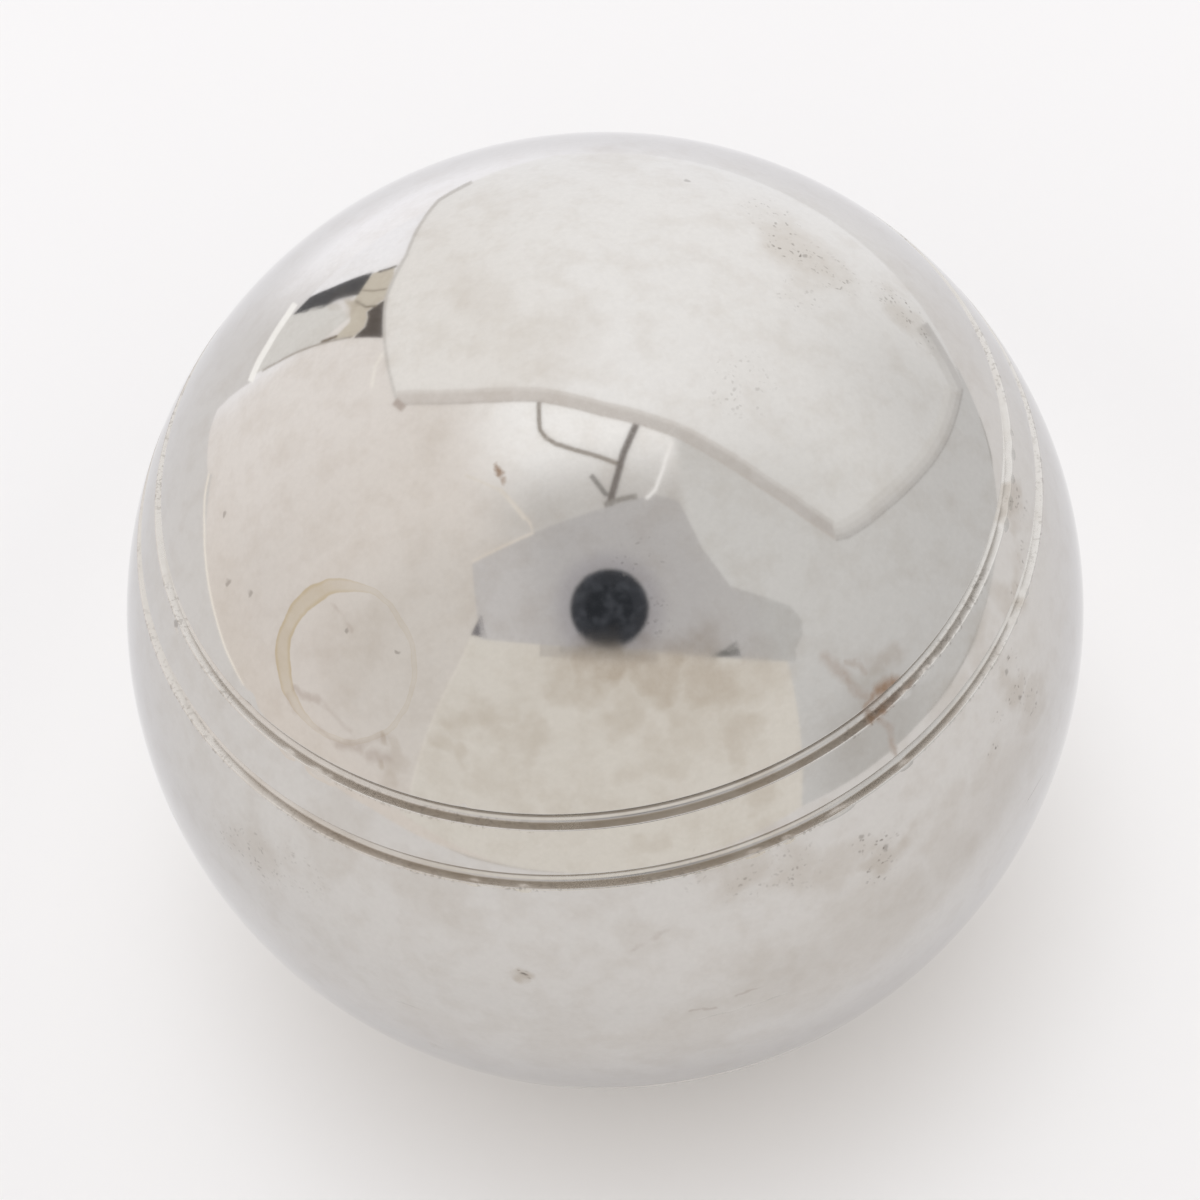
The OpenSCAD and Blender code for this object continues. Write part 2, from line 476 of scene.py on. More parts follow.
def line(start, end, steps=1):
    """Even points from start to end, and the unit normal on the left of that way."""
    share = np.linspace(0.0, 1.0, steps + 1)[:, None]
    start, end = np.asarray(start, float), np.asarray(end, float)
    way = (end - start) / np.linalg.norm(end - start)
    normal = np.array([-way[1], way[0]])
    return start + (end - start) * share, np.repeat(normal[None], steps + 1, axis=0)


def groove(height, sizes):
    """Section of one groove from its upper lip to its lower one, and the two latitudes where the
    lips leave the ball. The nose is an arc about a point on the ball's radius, each flank is a
    line that leans from that radius by half the flank angle and touches the nose, and each lip is
    an arc that touches the flank and the ball from inside. The middle of a lip lies beside the
    flank, both radii away from the nose's middle, which gives the flank's length by Pythagoras."""
    half, quarter = sizes.flank_angle / 2, math.pi / 2
    nose_r, lip_r = sizes.nose_radius, sizes.lip_radius
    nose_axis_r = BALL_R - sizes.groove_depth + nose_r
    missed = nose_axis_r * math.sin(half) - nose_r - lip_r
    flank = math.sqrt((BALL_R - lip_r) ** 2 - missed ** 2) - nose_axis_r * math.cos(half)
    latitude = math.asin(height / BALL_R)
    nose = on_radius(nose_axis_r, latitude)
    along = [on_radius(1.0, latitude + side * half) for side in (1, -1)]
    square = [on_radius(1.0, latitude + side * (quarter + half)) for side in (1, -1)]
    lips = [nose + (nose_r + lip_r) * off + flank * up for up, off in zip(along, square)]
    upper, lower = [(lip - lip_r * off, nose + nose_r * off) for lip, off in zip(lips, square)]
    spread = angle_of(lips[0]) - latitude
    return [
        arc(lips[0], lip_r, latitude + spread, latitude + half - quarter, LIP_ROWS),
        line(*upper, FLANK_ROWS),
        arc(nose, nose_r, latitude + quarter + half, latitude + 3 * quarter - half, NOSE_ROWS,
            hollow=True),
        line(*reversed(lower), FLANK_ROWS),
        arc(lips[1], lip_r, latitude + quarter - half, latitude - spread, LIP_ROWS),
    ], latitude + spread, latitude - spread


def outer_half(sizes):
    """Outside of a half from its pole to the edge of the weld, with both grooves."""
    far, far_top, far_foot = groove(sizes.far_groove_height, sizes)
    near, near_top, near_foot = groove(sizes.near_groove_height, sizes)
    centre = np.zeros(2)
    weld_edge = math.asin(WELD_HALF_W / BALL_R)
    return [
        arc(centre, BALL_R, math.pi / 2, far_top, POLE_ROWS, graded=True),
        *far,
        arc(centre, BALL_R, far_foot, near_top, BETWEEN_ROWS, graded=True),
        *near,
        arc(centre, BALL_R, near_foot, weld_edge, BELOW_ROWS, graded=True),
    ]


def corner_line(*corners):
    """Straight stretches through the corners, one after the other."""
    return [line(start, end) for start, end in zip(corners[:-1], corners[1:])]


def cavity(sizes, height):
    """The cavity's wall, from a height over the joint up to its pole, facing the air inside."""
    radius = BALL_R - sizes.wall
    return arc(np.zeros(2), radius, math.asin(height / radius), math.pi / 2,
               CAVITY_ROWS, hollow=True)


def shell_section(sizes, spigot):
    """Closed section of a half shell, drawn with its pole up: outside, bevelled face, land,
    then the spigot below the joint or the seat above it, and the cavity."""
    cavity_r = BALL_R - sizes.wall
    foot_r = cavity_r + sizes.root_face
    edge = (math.sqrt(BALL_R ** 2 - WELD_HALF_W ** 2), WELD_HALF_W)
    foot = [edge, (foot_r, sizes.root_width / 2), (foot_r, 0.0)]
    if spigot:
        side = cavity_r + sizes.spigot_thickness
        tip = -sizes.spigot_length
        inner = math.sqrt(cavity_r ** 2 - tip ** 2)
        joint = [(side, 0.0), (side, tip + sizes.spigot_chamfer),
                 (side - sizes.spigot_chamfer, tip), (inner, tip)]
    else:
        side = cavity_r + sizes.spigot_thickness + sizes.spigot_gap
        tip = sizes.spigot_length + sizes.spigot_gap
        inner = math.sqrt(cavity_r ** 2 - tip ** 2)
        joint = [(side, 0.0), (side, tip), (inner, tip)]
    return [*outer_half(sizes), *corner_line(*foot, *joint), cavity(sizes, tip)]


def weld_section(sizes):
    """Closed section of the weld ring: its flush face, with fine rows over its middle, then one
    bevelled side, the foot and the other side."""
    foot_r = BALL_R - sizes.wall + sizes.root_face
    half_root = sizes.root_width / 2
    centre = np.zeros(2)
    edge_angle = math.asin(WELD_HALF_W / BALL_R)
    middle_angle = math.asin(WELD_MIDDLE_HALF_W / BALL_R)
    edge = on_radius(BALL_R, edge_angle)
    lower_edge = edge * (1, -1)
    return [
        arc(centre, BALL_R, edge_angle, middle_angle, WELD_SIDE_ROWS, graded=True),
        arc(centre, BALL_R, middle_angle, -middle_angle, WELD_MIDDLE_ROWS),
        arc(centre, BALL_R, -middle_angle, -edge_angle, WELD_SIDE_ROWS, graded=True),
        *corner_line(lower_edge, (foot_r, -half_root), (foot_r, half_root), edge),
    ]


def dent_field(points, dents):
    """Height over the ball's surface and its gradient along the surface, as arrays over the
    points. Height is minus the sum of depth * exp(-(u / a)^2 - (v / b)^2) over the dents, u and
    v being the distances along the dent's east and north directions. It counts outside only."""
    height = np.zeros(len(points))
    gradient = np.zeros_like(points)
    for longitude, latitude, half_length, half_width, depth in dents:
        up = direction(longitude, latitude)
        east = Vector((0, 0, 1)).cross(up).normalized()
        north = np.array(up.cross(east))
        place, east = np.array(up) * BALL_R, np.array(east)
        a, b, depth = half_length * MM, half_width * MM, depth * MM
        offset = points - place
        u, v = offset @ east, offset @ north
        near = (offset ** 2).sum(axis=1) < (DENT_REACH * max(a, b)) ** 2
        bump = np.where(near, depth * np.exp(-(u / a) ** 2 - (v / b) ** 2), 0.0)
        height -= bump
        gradient += (2 * bump * u / a ** 2)[:, None] * east
        gradient += (2 * bump * v / b ** 2)[:, None] * north
    return height, gradient


def turned(name, section, columns, dents=(), mirrored=False):
    """Mesh of a section carried once round the Z axis: a section point (r, z) at longitude t
    goes to (r sin t, -r cos t, z). Points on the axis are one vertex each, and a section that
    doesn't end there closes on itself. Dents then move every vertex along its radius, and each
    corner keeps the section's own normal, tilted by the slope of the dents."""
    flip = np.array([1.0, -1.0 if mirrored else 1.0])
    places = [stretch[0][:-1] for stretch in section] + [section[-1][0][-1:]]
    points = np.concatenate(places) * flip
    starts = np.concatenate([stretch[1][:-1] for stretch in section]) * flip
    ends = np.concatenate([stretch[1][1:] for stretch in section]) * flip
    open_ended = points[0, 0] < AXIS_NEAR
    turn = np.linspace(0.0, math.tau, columns, endpoint=False)
    sine, cosine = np.sin(turn), np.cos(turn)

    def carried(radial, high):
        return np.stack([radial[:, None] * sine, -radial[:, None] * cosine,
                         np.repeat(high[:, None], columns, axis=1)], axis=2)

    rings = points[1:-1] if open_ended else points[:-1]
    vertices = carried(rings[:, 0], rings[:, 1]).reshape(-1, 3)
    if open_ended:
        poles = np.array([[0.0, 0.0, points[0, 1]], [0.0, 0.0, points[-1, 1]]])
        vertices = np.concatenate([vertices, poles])
    count = len(rings)
    column = np.arange(columns)
    after = (column + 1) % columns

    def ring(index):
        return (index % count) * columns

    bands = np.arange(count - 1) if open_ended else np.arange(count)
    upper = ring(bands)[:, None]
    lower = ring(bands + 1)[:, None]
    quads = np.stack([upper + column, lower + column, lower + after, upper + after], axis=2)
    shift = 1 if open_ended else 0
    top, foot = starts[bands + shift], ends[bands + shift]
    top, foot = carried(top[:, 0], top[:, 1]), carried(foot[:, 0], foot[:, 1])
    quad_normals = np.stack([top[:, column], foot[:, column], foot[:, after], top[:, after]], axis=2)
    corners, normals = [quads.reshape(-1)], [quad_normals.reshape(-1, 3)]
    sizes = [np.full(quads.shape[0] * columns, 4)]
    if open_ended:
        # The faces round both ends on the axis are triangles
        first, last = (np.full(columns, len(vertices) - left) for left in (2, 1))
        base = ring(count - 1)
        below = carried(ends[:1, 0], ends[:1, 1])[0]
        above = carried(starts[-1:, 0], starts[-1:, 1])[0]
        at_first, at_last = (np.repeat([[0.0, 0.0, high]], columns, axis=0)
                             for high in (starts[0, 1], ends[-1, 1]))
        for cap, cap_normals in (
                ((first, column, after), (at_first, below, below[after])),
                ((base + column, last, base + after), (above, at_last, above[after]))):
            corners.append(np.stack(cap, axis=1).reshape(-1))
            normals.append(np.stack(cap_normals, axis=1).reshape(-1, 3))
            sizes.append(np.full(columns, 3))
    corners, normals = np.concatenate(corners), np.concatenate(normals)
    sizes = np.concatenate(sizes)
    face_starts = np.concatenate([[0], np.cumsum(sizes)[:-1]])

    radius = np.linalg.norm(vertices, axis=1)
    outside = radius > BALL_R - OUTSIDE_DEPTH
    height, gradient = dent_field(vertices, dents)
    height, gradient = height * outside, gradient * outside[:, None]
    vertices = vertices * (1 + height / radius)[:, None]
    normals = normals - gradient[corners]
    normals /= np.linalg.norm(normals, axis=1)[:, None]

    if mirrored:
        # The mirrored section turns every face over, so its corners run the other way
        place = np.arange(len(corners)) - np.repeat(face_starts, sizes)
        order = np.repeat(face_starts + sizes, sizes) - 1 - place
        corners, normals = corners[order], normals[order]

    mesh = bpy.data.meshes.new(name)
    mesh.vertices.add(len(vertices))
    mesh.vertices.foreach_set("co", vertices.reshape(-1))
    mesh.loops.add(len(corners))
    mesh.loops.foreach_set("vertex_index", corners)
    mesh.polygons.add(len(sizes))
    mesh.polygons.foreach_set("loop_start", face_starts)
    mesh.polygons.foreach_set("use_smooth", np.ones(len(sizes), bool))
    mesh.update(calc_edges=True)
    mesh.validate()
    mesh.normals_split_custom_set(normals)
    return placed(name, mesh)


class Signal:
    """A number that changes over a surface. Arithmetic on it adds the Math nodes."""

    def __init__(self, shader, socket):
        self.shader = shader
        self.socket = socket

    def maths(self, operation, *values):
        """Adds one Math node."""
        return self.shader.number("ShaderNodeMath", {"operation": operation},
                                  dict(enumerate(values)))

    def __add__(self, other):
        return self.maths("ADD", self, other)

    def __sub__(self, other):
        return self.maths("SUBTRACT", self, other)

    def __rsub__(self, other):
        return self.maths("SUBTRACT", other, self)

    def __mul__(self, other):
        return self.maths("MULTIPLY", self, other)

    def __truediv__(self, other):
        return self.maths("DIVIDE", self, other)

    def __abs__(self):
        return self.maths("ABSOLUTE", self)

    def high(self, other):
        """The larger of two numbers."""
        return self.maths("MAXIMUM", self, other)

    def low(self, other):
        """The smaller of two numbers."""
        return self.maths("MINIMUM", self, other)

    def fade(self, start, end):
        """0 at the start and 1 at the end, with a smooth step between, in either direction."""
        if start > end:
            return 1 - self.fade(end, start)
        return self.shader.number("ShaderNodeMapRange", {"interpolation_type": "SMOOTHSTEP"},
                                  {"Value": self, "From Min": start, "From Max": end})

    __radd__ = __add__
    __rmul__ = __mul__


# Numbers of a Mix node's sockets for colours: its first and second one, and its answer
MIX_FIRST, MIX_SECOND, MIX_ANSWER = 6, 7, 2


class Shader:
    """A material's node tree, written down as expressions."""

    def __init__(self, name):
        self.material = bpy.data.materials.new(name)
        self.material.use_nodes = True
        self.tree = self.material.node_tree
        self.tree.nodes.clear()
        self.place = self.node("ShaderNodeTexCoord").outputs["Object"]

    def node(self, kind, settings=None, values=None):
        """Adds a node: first its settings, then each socket's value or link."""
        node = self.tree.nodes.new(kind)
        for setting, value in (settings or {}).items():
            setattr(node, setting, value)
        for socket, value in (values or {}).items():
            value = value.socket if isinstance(value, Signal) else value
            if isinstance(value, bpy.types.NodeSocket):
                self.tree.links.new(value, node.inputs[socket])
            elif value is not None:
                node.inputs[socket].default_value = value
        return node

    def number(self, kind, settings=None, values=None, output=0):
        """Adds a node whose answer is a number."""
        return Signal(self, self.node(kind, settings, values).outputs[output])

    def vector(self, operation, first, second=None, scale=None):
        """Vector Math, whose answer is a vector."""
        return self.node("ShaderNodeVectorMath", {"operation": operation},
                         {0: first, 1: second, "Scale": scale}).outputs["Vector"]

    def distance(self, first, second=(0.0, 0.0, 0.0)):
        """How far one point is from another, or from the origin."""
        return self.number("ShaderNodeVectorMath", {"operation": "DISTANCE"},
                           {0: first, 1: second}, output="Value")

    def from_axis(self):
        """Distance from the Z axis."""
        return self.distance(self.vector("MULTIPLY", self.place, (1.0, 1.0, 0.0)))

    def along(self, vector, axis):
        """How far a vector goes along an axis."""
        return self.number("ShaderNodeVectorMath", {"operation": "DOT_PRODUCT"},
                           {0: vector, 1: axis}, output="Value")

    def noise(self, size, detail, roughness=0.5):
        """Smooth noise between 0 and 1, whose lumps are about as large as the size."""
        return self.number("ShaderNodeTexNoise", {}, {
            "Vector": self.place, "Scale": 1 / size, "Detail": detail, "Roughness": roughness})

    def mix(self, factor, first, second, blend="MIX"):
        """One colour over another."""
        settings = {"data_type": "RGBA", "blend_type": blend}
        values = {0: factor, MIX_FIRST: rgba(first), MIX_SECOND: rgba(second)}
        return self.node("ShaderNodeMix", settings, values).outputs[MIX_ANSWER]

    def surface(self, **values):
        """Ends the tree in a Principled surface."""
        named = {key.replace("_", " ").title().replace("Ior", "IOR"): value
                 for key, value in values.items()}
        surface = self.node("ShaderNodeBsdfPrincipled", {}, named)
        self.node("ShaderNodeOutputMaterial", {}, {"Surface": surface.outputs["BSDF"]})
        return self.material


def rgba(colour):
    """A colour value with its alpha, or the colour's link as it is."""
    return colour if isinstance(colour, bpy.types.NodeSocket) else (*colour[:3], 1.0)


# Patterns of the metal: the size of their lumps in metres, their detail and roughness
CLOUD, STAIN, GRAIN = (11 * MM, 3.0), (2.4 * MM, 3.0, 0.6), (0.45 * MM, 3.0, 0.6)
BROKEN, LUMPS, PIT_PATCHES = (1.1 * MM, 3.0, 0.6), (1.8 * MM, 3.0, 0.6), (0.9 * MM, 2.0)
BURR_TEETH, BURR_STRETCHES = (0.30 * MM, 2.0), (7 * MM, 1.0)
FINE_RELIEF, WAVE_RELIEF = (0.35 * MM, 2.0), (2.6 * MM, 1.0)
# Noise that moves the edges of marks: the size of its lumps, and how far it moves them
EDGE_DETAIL = 3.0
LOOSE_EDGE, STEADY_EDGE = (1.6 * MM, 1.3 * MM), (2.4 * MM, 0.8 * MM)
DRIFTING_EDGE = (4.5 * MM, 9.0 * MM)
# A round mark is whole out to this share of its radius
MARK_CORE = 0.35
# Depths below the ball's surface between which grime and painted shade set in, and the metal grows rough
GRIME_AND_SHADE_DEPTHS, RECESS_DEPTHS = (0.02 * MM, 0.14 * MM), (0.006 * MM, 0.04 * MM)
# Heights of a face's normal between which grime and painted shade set in: the face leans towards a pole
GRIME_AND_SHADE_LEAN = (0.90, 0.99)
# Places towards the camera's side between which the grime and painted shade lie thick
GRIME_AND_SHADE_FRONT = (0.42 * BALL_R, 0.78 * BALL_R)
# Distances from a lip's edge between which burrs end, and the values of the patterns between
# which their teeth and their stretches set in
BURR_REACH, BURR_TEETH_VALUES = (0.16 * MM, 0.03 * MM), (0.52, 0.64)
BURR_STRETCH_VALUES = (0.42, 0.58)
# Across the ring's edge, in half widths: where it ends, and where its darker rim sets in
RING_END, RING_RIM = (1.0, 0.78), (0.35, 0.85)
# Fine pits: size of their cells, distances from a cell's middle between which a pit ends, the
# values of their patches, and how much further than its radius a place of pits reaches
PIT_CELL, PIT_EDGE, PIT_PATCH_VALUES, PIT_SPREAD = 0.42 * MM, (0.42, 0.16), (0.42, 0.60), 1.15
# The steel's darkest and lightest clouds, and the shade of its grain, as shares of its colour
CLOUD_SHADES, GRAIN_SHADE = (0.975, 1.025), 0.93
# Stain covers the steel by this much of what its pattern is over a level
STAIN_LEVEL, STAIN_COVER = 0.46, 0.75
# How much of the metal the other marks cover at their strongest
PIT_COVER, FRECKLE_COVER, BURR_COVER, RUST_COVER = 0.75, 0.42, 0.32, 0.95
# The relief's strength, and the height that its pattern stands for
BUMP_STRENGTH, BUMP_DISTANCE = 0.5, 0.0006 * MM


def worn_chrome(name, finish, picture, lip_heights, low, high):
    """The polished metal: a bright, faintly cloudy mirror, with blooms, a dried ring, pits,
    freckles, dirt and rust at their places, painted shade in broad blooms along its lower rim,
    and grime with painted shade in whatever lies below the ball's surface.
    A piece only takes the marks that come near the heights between low and high."""
    shader = Shader(name)
    place = shader.place
    depth = BALL_R - shader.distance(place)

    def wandering(size, reach):
        """The place, moved about by smooth noise, which gives every mark an uneven edge."""
        noise = shader.node("ShaderNodeTexNoise", {}, {
            "Vector": place, "Scale": 1 / size, "Detail": EDGE_DETAIL}).outputs["Color"]
        shift = shader.vector("SUBTRACT", noise, (0.5, 0.5, 0.5))
        return shader.vector("ADD", place, shader.vector("SCALE", shift, scale=reach))

    loose, drifting, steady = (
        wandering(*edge) for edge in (LOOSE_EDGE, DRIFTING_EDGE, STEADY_EDGE))

    def strongest(signals):
        """The largest of many signals, or 0 where there are none."""
        return functools.reduce(Signal.high, signals, shader.number("ShaderNodeValue"))

    def kept(seen, far):
        """The piece's own marks: place on the ball, radius in metres and other values."""
        marks = [(picture.touch(pixel), radius * MM, *rest) for pixel, radius, *rest in seen]
        marks += [(direction(*at) * BALL_R, radius * MM, *rest) for at, radius, *rest in far]
        return [mark for mark in marks if low - mark[1] < mark[0].z < high + mark[1]]

    def spot(middle, radius, at=loose):
        """1 in the middle of a round mark and 0 at its radius."""
        return shader.distance(at, middle).fade(radius, MARK_CORE * radius)

    def strokes(rows):
        """Marks along straight strokes, each fading at its half width."""
        drawn = []
        for start_px, end_px, half_width, strength in rows:
            start, end = picture.touch(start_px), picture.touch(end_px)
            middle, half_length = (start + end) / 2, (end - start).length / 2
            if low - half_length < middle.z < high + half_length:
                way = (end - start).normalized()
                offset = shader.vector("SUBTRACT", loose, middle)
                held = shader.along(offset, way).high(-half_length).low(half_length)
                away = shader.distance(offset, shader.vector("SCALE", way, scale=held))
                drawn.append(away.fade(half_width * MM, 0.0) * strength)
        return strongest(drawn)

    cloud = shader.noise(*CLOUD) - 0.5
    stain = shader.noise(*STAIN)
    grain = shader.noise(*GRAIN) - 0.5
    broken = shader.noise(*BROKEN)

    # Grime and painted shade in grooves and nicks, uneven along them, on the faces that lean most towards
    # a pole, thickest on the camera's side
    normal = shader.node("ShaderNodeNewGeometry").outputs["Normal"]
    lean = abs(shader.along(normal, Z_AXIS))
    in_front = shader.along(place, (0, -1, 0)).fade(*GRIME_AND_SHADE_FRONT)
    grime_and_shade = depth.fade(*GRIME_AND_SHADE_DEPTHS) * lean.fade(*GRIME_AND_SHADE_LEAN)
    grime_and_shade = grime_and_shade * (0.30 + 0.50 * shader.noise(*LUMPS)) * (0.10 + 0.90 * in_front)
    recess = depth.fade(*RECESS_DEPTHS)
    # Burrs along the lips on the weld's side, in some stretches only
    height = abs(shader.along(place, Z_AXIS))
    beside_lip = functools.reduce(Signal.low, (abs(height - lip) for lip in lip_heights))
    burrs = beside_lip.fade(*BURR_REACH) * shader.noise(*BURR_TEETH).fade(*BURR_TEETH_VALUES)
    burrs = burrs * shader.noise(*BURR_STRETCHES).fade(*BURR_STRETCH_VALUES)

    # Blooms of tarnish, and painted shade along the lower rim
    blooms_and_rim_shade = strongest(spot(middle, radius, drifting) * strength
                       for middle, radius, strength in kept(SEEN_BLOOMS_AND_RIM_SHADE, FAR_BLOOMS))
    blooms_and_rim_shade = blooms_and_rim_shade * (0.40 + 0.9 * broken)

    heavy_px, heavy_r = RING_MARK_HEAVY
    heavy = spot(picture.touch(heavy_px), heavy_r * MM)
    thin, wide = RING_MARK_HALF_W
    from_ring = abs(shader.distance(steady, picture.touch(RING_MARK)) - RING_MARK_R * MM)
    from_ring = from_ring / (thin * MM + (wide - thin) * MM * heavy)
    ring = from_ring.fade(*RING_END) * (0.65 + 0.45 * from_ring.fade(*RING_RIM))
    ring = ring * (0.18 + 0.44 * heavy) * (0.75 + 0.5 * broken)
    dirt = strokes(DIRT_STROKES)

    cells = shader.number("ShaderNodeTexVoronoi", {}, {
        "Vector": loose, "Scale": 1 / PIT_CELL, "Randomness": 1.0}, output="Distance")
    specks = cells.fade(*PIT_EDGE) * shader.noise(*PIT_PATCHES).fade(*PIT_PATCH_VALUES)
    pitted = strongest(spot(middle, PIT_SPREAD * radius) * strength
                       for middle, radius, strength in kept(SEEN_PITS, FAR_PITS))
    pits = pitted * specks
    freckles = strongest(spot(*freckle) for freckle in kept(SEEN_FRECKLES, FAR_FRECKLES))
    rust = strokes(RUST_STROKES) * (0.45 + 0.9 * broken)

    dark, light = ([min(1.0, c * shade) for c in finish.steel] for shade in CLOUD_SHADES)
    colour = shader.mix(0.5 + 0.9 * cloud, dark, light)
    grained = shader.mix(1.0, colour, (GRAIN_SHADE,) * 3, "MULTIPLY")
    colour = shader.mix(0.5 + 1.4 * grain, grained, colour)
    for cover, mark in (
            ((stain - STAIN_LEVEL).high(0.0) * STAIN_COVER, finish.tarnish),
            ((blooms_and_rim_shade + 0.12 * pitted).low(1.0), finish.tarnish),
            (ring.low(1.0), finish.tea),
            (dirt.low(1.0), finish.dirt),
            ((pits * PIT_COVER).low(1.0), finish.pit),
            (freckles * FRECKLE_COVER, finish.pit),
            (grime_and_shade, finish.grime_and_shade),
            (burrs * BURR_COVER, finish.pit),
            (rust.low(RUST_COVER), finish.rust)):
        colour = shader.mix(cover, colour, mark)

    rough = finish.polish + 0.03 * cloud + 0.05 * grain.high(0.0) + 0.08 * blooms_and_rim_shade + 0.20 * pits
    rough = (rough + 0.22 * recess + 0.45 * rust + 0.08 * ring).high(0.02).low(1.0)
    metal = 1.0 - (0.6 * rust).low(1.0)
    relief = shader.noise(*FINE_RELIEF) * 0.25 + shader.noise(*WAVE_RELIEF)
    relief = relief - 1.5 * pits + 1.2 * rust
    bump = shader.node("ShaderNodeBump", {}, {
        "Strength": BUMP_STRENGTH, "Distance": BUMP_DISTANCE, "Height": relief})
    return shader.surface(base_color=colour, roughness=rough, metallic=metal,
                          specular_tint=rgba(finish.edge), normal=bump.outputs["Normal"])


def worn_piece(scene, node, metal, section, dents, low, high, mirrored=False):
    """Turns the piece that stands for a node, from its section and its dents, in its own metal
    with the marks that lie between two heights."""
    sizes = scene.ball_sizes
    piece = turned(f"{node}_worn", section, sizes.columns, dents, mirrored)
    piece.data.materials.append(worn_chrome(
        metal, scene.steel_finish, Picture(scene.studio_settings), sizes.lip_heights(), low, high))
    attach(piece, ROOT_BODY)
    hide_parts(node)


class STEELBALL_OT_upper_half_shell(bpy.types.Operator):
    """Turn the upper half shell, with its two grooves and its spigot"""

    bl_idname = "steelball.upper_half_shell"
    bl_label = "Upper Half Shell"

    def execute(self, context):
        section = shell_section(context.scene.ball_sizes, spigot=True)
        worn_piece(context.scene, "upper_half_shell", "worn_chrome_upper",
                   section, UPPER_DENTS, WELD_HALF_W, BALL_R)
        return {"FINISHED"}


class STEELBALL_OT_lower_half_shell(bpy.types.Operator):
    """Turn the lower half shell, with its two grooves and the seat of the spigot"""

    bl_idname = "steelball.lower_half_shell"
    bl_label = "Lower Half Shell"

    def execute(self, context):
        section = shell_section(context.scene.ball_sizes, spigot=False)
        worn_piece(context.scene, "lower_half_shell", "worn_chrome_lower",
                   section, LOWER_DENTS, -BALL_R, -WELD_HALF_W, mirrored=True)
        return {"FINISHED"}


class STEELBALL_OT_weld_bead(bpy.types.Operator):
    """Lay the weld ring, turned flush with both half shells"""

    bl_idname = "steelball.weld_bead"
    bl_label = "Weld Bead"

    def execute(self, context):
        section = weld_section(context.scene.ball_sizes)
        worn_piece(context.scene, "weld_bead", "worn_chrome_weld",
                   section, WELD_HAIRLINES, -WELD_HALF_W, WELD_HALF_W)
        return {"FINISHED"}


# Sides, foot and top of the lower walls of the room
LEFT_X, RIGHT_X, FRONT_Y, BACK_Y, FOOT_Z, TOP_Z = -0.62, 0.262, -0.43, 0.69, -0.04, 0.5
# The room as the ball mirrors it. A plane is the direction that it faces, as azimuth from the
# camera's side and elevation, and its distance in metres. An outline's corner is the pixel of the
# picture where the ball mirrors it on its plane, or its place in metres.
FRONT_PLANE = (0.0, 0.0, 0.425)
RIGHT_PLANE = (90.0, 0.0, RIGHT_X)
WINDOW_PLANE = (-90.0, 0.0, 0.60)
FLOOR_PLANE = (0.0, -90.0, 0.0367)
ROD_PLANE = (-150.0, -5.0, 0.12)
CEILING_PLANE = (0.0, 90.0, 1.00)
CAMERA_PLANE = (0.0, CAMERA_ELEVATION, 0.30)
BACK_PLANE = (155.8, 10.5, 0.267)
# The board behind the ball, by its edges
BACK_BOARD_TOP = [
    (397, 406), (440, 405), (468, 404), (495, 402.8), (537, 402), (565, 407), (600, 416),
    (634, 424), (676, 438), (718, 461), (759, 488), (801, 517), (820, 530), (835, 540)]
BACK_BOARD_RIGHT = [
    (836, 541), (848, 538.5), (870, 525), (886.5, 511), (903, 497), (920, 480), (933, 465),
    (943, 450), (951.5, 433), (957, 417), (961, 402), (963.5, 388)]
BACK_BOARD_RIGHT_FOOT = [(964, 388), (957, 372), (948, 355.5), (937, 337), (927, 322)]
BACK_BOARD_LEFT = [
    (397.7, 403.5), (388, 367), (384, 332), (386, 298), (393.8, 278.5), (406.6, 255), (420.6, 224),
    (439, 200), (472, 182)]
BACK_BOARD_FOOT = [(0.30, 0.171, FOOT_Z), (0.02, 0.297, FOOT_Z)]
# The walls' lower parts, which stand on the floor in front of the dome
WALLS = [
    ("left_wall", WINDOW_PLANE, [
        (LEFT_X, FRONT_Y, FOOT_Z), (LEFT_X, BACK_Y, FOOT_Z), (LEFT_X, BACK_Y, TOP_Z),
        (LEFT_X, FRONT_Y, TOP_Z)]),
    ("front_wall", FRONT_PLANE, [
        (LEFT_X, FRONT_Y, FOOT_Z), (RIGHT_X, FRONT_Y, FOOT_Z), (RIGHT_X, FRONT_Y, TOP_Z),
        (LEFT_X, FRONT_Y, TOP_Z)]),
    ("right_wall", RIGHT_PLANE, [
        (RIGHT_X, FRONT_Y, FOOT_Z), (RIGHT_X, 0.187, FOOT_Z), *reversed(BACK_BOARD_RIGHT),
        (788, 663)]),
    ("left_wall_foot", FLOOR_PLANE, [
        (252, 381), (230, 397), (217, 410), (210, 430), (207.5, 450), (208, 474), (219, 474),
        (224, 440), (233, 413), (241, 395)]),
]
HOOD_COLOURS = "the hood's own"
